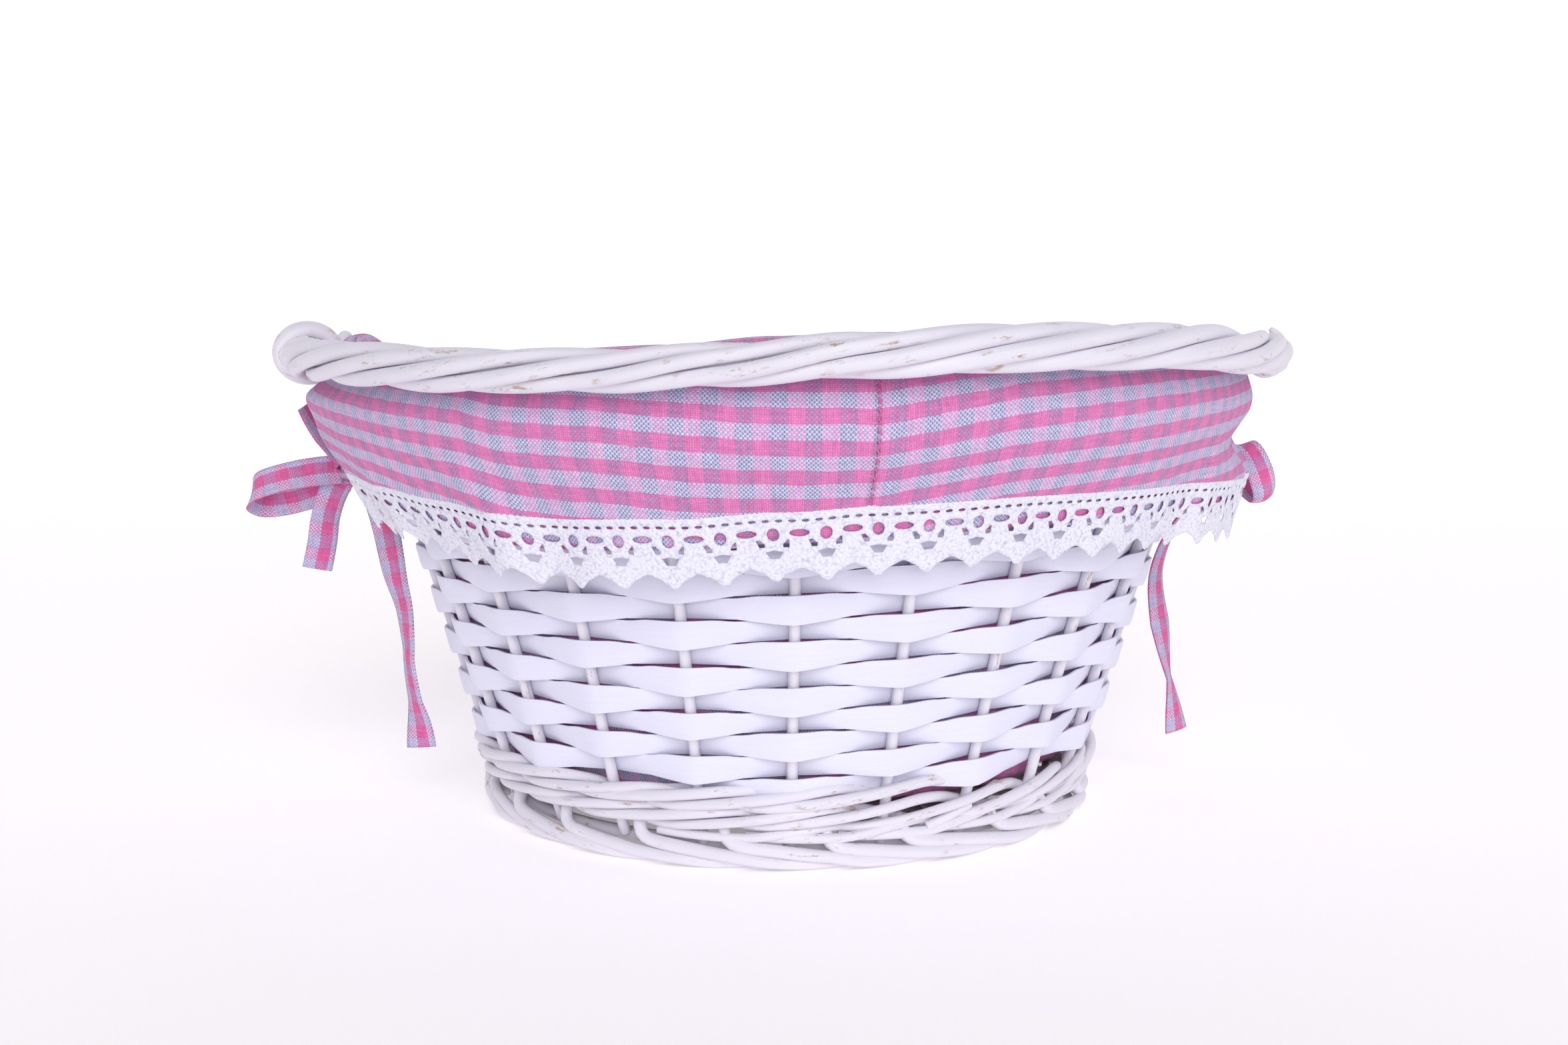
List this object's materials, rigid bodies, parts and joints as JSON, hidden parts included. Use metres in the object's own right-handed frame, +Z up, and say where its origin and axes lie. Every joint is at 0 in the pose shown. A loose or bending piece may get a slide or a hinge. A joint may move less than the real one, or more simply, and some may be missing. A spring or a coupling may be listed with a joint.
{
  "type": "flower girl basket",
  "caption": "Round flared wicker basket with a gingham liner, a lace-edged skirt, ribbon ties and a twisted bail handle that folds down over the rim.",
  "frame": {"origin": "centre of the foot, on the plane that the basket stands on", "axes": "+Z up, the front with the folded handle towards -Y, the handle's hinge axis along X, +X to the right as seen from the front"},
  "size_m": [0.3544, 0.3213, 0.1619],
  "materials": {
    "white_willow": "white painted round willow rods, satin",
    "white_skein": "white painted flat split willow, satin",
    "gingham": "pink and grey-white cotton gingham, plain weave",
    "crochet_lace": "white cotton crochet lace",
    "gingham_ribbon": "folded pink gingham tie"
  },
  "bodies": {
    "basket": {"foot_border": "white_willow", "base_sticks_lower": "white_willow", "base_sticks_upper": "white_willow", "base_weave": "white_willow", "stakes": "white_willow", "foot_wale": "white_willow", "side_weaver_1": "white_skein", "side_weaver_2": "white_skein", "side_weaver_3": "white_skein", "side_weaver_4": "white_skein", "side_weaver_5": "white_skein", "side_weaver_6": "white_skein", "rim_wale": "white_willow", "rim_border": "white_willow", "ear_left": "white_willow", "ear_right": "white_willow", "liner_floor": "gingham", "liner_wall": "gingham", "skirt_front_left": "gingham", "skirt_front_right": "gingham", "skirt_back_left": "gingham", "skirt_back_right": "gingham", "lace_front": "crochet_lace", "lace_back": "crochet_lace", "tie_left_knot": "gingham_ribbon", "tie_left_loop": "gingham_ribbon", "tie_left_short_tail": "gingham_ribbon", "tie_left_long_tail": "gingham_ribbon", "tie_right_knot": "gingham_ribbon", "tie_right_loop": "gingham_ribbon", "tie_right_tail": "gingham_ribbon"},
    "handle": {"handle_core": "white_willow", "handle_rod_1": "white_willow", "handle_rod_2": "white_willow", "handle_rod_3": "white_willow", "handle_rod_4": "white_willow", "handle_rod_5": "white_willow", "handle_collar_left": "white_willow", "handle_collar_right": "white_willow"}
  },
  "joints": [
    {"name": "handle_swing", "type": "hinge", "parent": "basket", "child": "handle", "pos_m": [0, 0, 0.151], "axis": [-1, 0, 0], "range_deg": [0, 180]}
  ]
}
